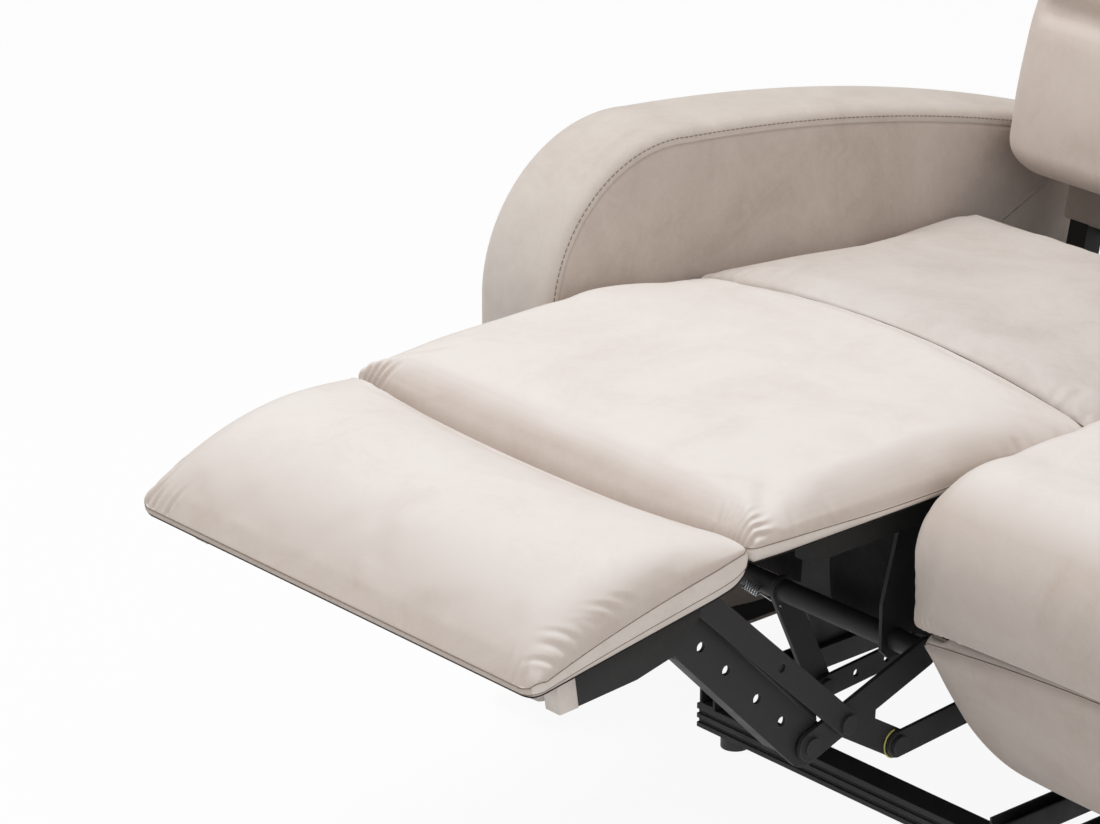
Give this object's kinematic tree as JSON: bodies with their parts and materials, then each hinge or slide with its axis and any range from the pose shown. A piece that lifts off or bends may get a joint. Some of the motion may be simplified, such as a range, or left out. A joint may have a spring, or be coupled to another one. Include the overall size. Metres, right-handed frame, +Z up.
{
  "type": "reclining sofa",
  "caption": "Velvet reclining sofa with padded arms, an open footrest on a black steel linkage beside a closed seat, reclining backs and side release levers.",
  "frame": {"origin": "middle of the overall box on the floor", "axes": "+X to the viewer's right when facing the front, +Y to the back, +Z up"},
  "size_m": [1.376, 1.3804, 0.9945],
  "materials": {
    "velvet": "short pile velvet",
    "velvet_panel": "board covered in the same velvet",
    "plywood": "raw plywood and rails",
    "black_cloth": "matte nonwoven lining",
    "webbing": "elastic webbing",
    "black_plastic": "matte",
    "satin_plastic": "satin",
    "black_steel": "satin black paint"
  },
  "bodies": {
    "base": {"base_rails": "black_steel", "base_tracks": "black_steel", "arm_ties": "black_steel", "back_posts": "black_steel", "glide_feet": "black_plastic", "lever_bezels": "satin_plastic", "rear_board": "velvet_panel", "left_arm_core": "plywood", "right_arm_core": "plywood", "left_arm_cover": "velvet", "right_arm_cover": "velvet", "left_arm_lining": "black_cloth", "right_arm_lining": "black_cloth"},
    "left_carriage": {"left_seat_frame": "plywood", "left_webbing": "webbing", "left_seat_cushion": "velvet", "left_thigh_pad": "velvet", "left_apron": "black_cloth", "left_hangers": "black_steel", "left_side_plates": "black_steel", "left_runners": "black_plastic"},
    "left_leg": {"left_leg_board": "plywood", "left_leg_pad": "velvet"},
    "left_footrest": {"left_footrest_board": "plywood", "left_footrest_pad": "velvet", "left_footrest_brackets": "black_steel"},
    "left_crank": {"left_crank_tube": "black_steel", "left_bell_cranks": "black_steel"},
    "left_front_link": {"left_front_links": "black_steel"},
    "left_rear_link": {"left_rear_links": "black_steel"},
    "left_drive_link": {"left_drive_links": "black_steel"},
    "left_level_bar": {"left_level_bar": "black_steel"},
    "left_rocker": {"left_rear_rockers": "black_steel"},
    "left_back": {"left_back_frame": "plywood", "left_back_cushion": "velvet"},
    "left_lever": {"left_release_lever": "satin_plastic"},
    "right_carriage": {"right_seat_frame": "plywood", "right_webbing": "webbing", "right_seat_cushion": "velvet", "right_thigh_pad": "velvet", "right_apron": "black_cloth", "right_hangers": "black_steel", "right_side_plates": "black_steel", "right_runners": "black_plastic"},
    "right_leg": {"right_leg_board": "plywood", "right_leg_pad": "velvet"},
    "right_footrest": {"right_footrest_board": "plywood", "right_footrest_pad": "velvet", "right_footrest_brackets": "black_steel"},
    "right_crank": {"right_crank_tube": "black_steel", "right_bell_cranks": "black_steel"},
    "right_front_link": {"right_front_links": "black_steel"},
    "right_rear_link": {"right_rear_links": "black_steel"},
    "right_drive_link": {"right_drive_links": "black_steel"},
    "right_level_bar": {"right_level_bar": "black_steel"},
    "right_rocker": {"right_rear_rockers": "black_steel"},
    "right_back": {"right_back_frame": "plywood", "right_back_cushion": "velvet"},
    "right_lever": {"right_release_lever": "satin_plastic"}
  },
  "joints": [
    {"name": "left_seat_slide", "type": "slide", "parent": "base", "child": "left_carriage", "axis": [0, 1, 0], "range_m": [0, 0.125]},
    {"name": "left_leg_fold", "type": "hinge", "parent": "left_carriage", "child": "left_leg", "pos_m": [-0.2825, -0.32824, 0.427], "axis": [1, 0, 0], "range_deg": [0, 90]},
    {"name": "left_footrest_fold", "type": "hinge", "parent": "left_leg", "child": "left_footrest", "pos_m": [-0.2825, -0.42724, 0.427], "axis": [1, 0, 0], "range_deg": [0, 34]},
    {"name": "left_crank_turn", "type": "hinge", "parent": "left_carriage", "child": "left_crank", "pos_m": [-0.2825, -0.15024, 0.254], "axis": [1, 0, 0], "range_deg": [0, 102.41]},
    {"name": "left_front_link_turn", "type": "hinge", "parent": "left_crank", "child": "left_front_link", "pos_m": [-0.2825, -0.29824, 0.204], "axis": [1, 0, 0], "range_deg": [-98.02, 0]},
    {"name": "left_rear_link_turn", "type": "hinge", "parent": "left_crank", "child": "left_rear_link", "pos_m": [-0.2825, -0.25824, 0.217], "axis": [1, 0, 0], "range_deg": [-98.73, 0]},
    {"name": "left_drive_link_turn", "type": "hinge", "parent": "left_crank", "child": "left_drive_link", "pos_m": [-0.2825, -0.19024, 0.174], "axis": [1, 0, 0], "range_deg": [-102.41, 0]},
    {"name": "left_level_bar_turn", "type": "hinge", "parent": "left_crank", "child": "left_level_bar", "pos_m": [-0.2825, -0.09624, 0.136], "axis": [1, 0, 0], "range_deg": [-102.41, 0]},
    {"name": "left_rocker_turn", "type": "hinge", "parent": "left_carriage", "child": "left_rocker", "pos_m": [-0.2825, 0.14976, 0.276], "axis": [1, 0, 0], "range_deg": [0, 102.41]},
    {"name": "left_back_recline", "type": "hinge", "parent": "base", "child": "left_back", "pos_m": [-0.2825, 0.54676, 0.34], "axis": [1, 0, 0], "range_deg": [-30, 0]},
    {"name": "left_lever_pull", "type": "hinge", "parent": "base", "child": "left_lever", "pos_m": [-0.678, 0.05176, 0.33], "axis": [1, 0, 0], "range_deg": [-35, 0], "stiffness_Nm_per_rad": 2.5, "springref_deg": 11.46},
    {"name": "right_seat_slide", "type": "slide", "parent": "base", "child": "right_carriage", "axis": [0, 1, 0], "range_m": [-0.125, 0]},
    {"name": "right_leg_fold", "type": "hinge", "parent": "right_carriage", "child": "right_leg", "pos_m": [0.2825, -0.20324, 0.427], "axis": [1, 0, 0], "range_deg": [-90, 0]},
    {"name": "right_footrest_fold", "type": "hinge", "parent": "right_leg", "child": "right_footrest", "pos_m": [0.2825, -0.20324, 0.328], "axis": [1, 0, 0], "range_deg": [-34, 0]},
    {"name": "right_crank_turn", "type": "hinge", "parent": "right_carriage", "child": "right_crank", "pos_m": [0.2825, -0.02524, 0.254], "axis": [1, 0, 0], "range_deg": [-102.41, 0]},
    {"name": "right_front_link_turn", "type": "hinge", "parent": "right_crank", "child": "right_front_link", "pos_m": [0.2825, 0.05539, 0.1202], "axis": [1, 0, 0], "range_deg": [0, 98.02]},
    {"name": "right_rear_link_turn", "type": "hinge", "parent": "right_crank", "child": "right_rear_link", "pos_m": [0.2825, 0.0341, 0.15648], "axis": [1, 0, 0], "range_deg": [0, 98.73]},
    {"name": "right_drive_link_turn", "type": "hinge", "parent": "right_crank", "child": "right_drive_link", "pos_m": [0.2825, 0.06148, 0.23213], "axis": [1, 0, 0], "range_deg": [0, 102.41]},
    {"name": "right_level_bar_turn", "type": "hinge", "parent": "right_crank", "child": "right_level_bar", "pos_m": [0.2825, 0.0784, 0.3321], "axis": [1, 0, 0], "range_deg": [0, 102.41]},
    {"name": "right_rocker_turn", "type": "hinge", "parent": "right_carriage", "child": "right_rocker", "pos_m": [0.2825, 0.27476, 0.276], "axis": [1, 0, 0], "range_deg": [-102.41, 0]},
    {"name": "right_back_recline", "type": "hinge", "parent": "base", "child": "right_back", "pos_m": [0.2825, 0.54676, 0.34], "axis": [1, 0, 0], "range_deg": [-30, 0]},
    {"name": "right_lever_pull", "type": "hinge", "parent": "base", "child": "right_lever", "pos_m": [0.678, 0.05176, 0.33], "axis": [1, 0, 0], "range_deg": [-35, 0], "stiffness_Nm_per_rad": 2.5, "springref_deg": 11.46}
  ],
  "couplings": [
    {"joint": "left_seat_slide", "follows": "left_leg_fold", "m_per_rad": 0.079577},
    {"joint": "left_footrest_fold", "follows": "left_leg_fold", "ratio": 0.37778},
    {"joint": "left_crank_turn", "follows": "left_leg_fold", "ratio": 1.1379},
    {"joint": "left_front_link_turn", "follows": "left_leg_fold", "ratio": -1.0891},
    {"joint": "left_rear_link_turn", "follows": "left_leg_fold", "ratio": -1.097},
    {"joint": "left_drive_link_turn", "follows": "left_leg_fold", "ratio": -1.1379},
    {"joint": "left_level_bar_turn", "follows": "left_leg_fold", "ratio": -1.1379},
    {"joint": "left_rocker_turn", "follows": "left_leg_fold", "ratio": 1.1379},
    {"joint": "right_seat_slide", "follows": "right_leg_fold", "m_per_rad": 0.079577},
    {"joint": "right_footrest_fold", "follows": "right_leg_fold", "ratio": 0.37778},
    {"joint": "right_crank_turn", "follows": "right_leg_fold", "ratio": 1.1379},
    {"joint": "right_front_link_turn", "follows": "right_leg_fold", "ratio": -1.0891},
    {"joint": "right_rear_link_turn", "follows": "right_leg_fold", "ratio": -1.097},
    {"joint": "right_drive_link_turn", "follows": "right_leg_fold", "ratio": -1.1379},
    {"joint": "right_level_bar_turn", "follows": "right_leg_fold", "ratio": -1.1379},
    {"joint": "right_rocker_turn", "follows": "right_leg_fold", "ratio": 1.1379}
  ]
}
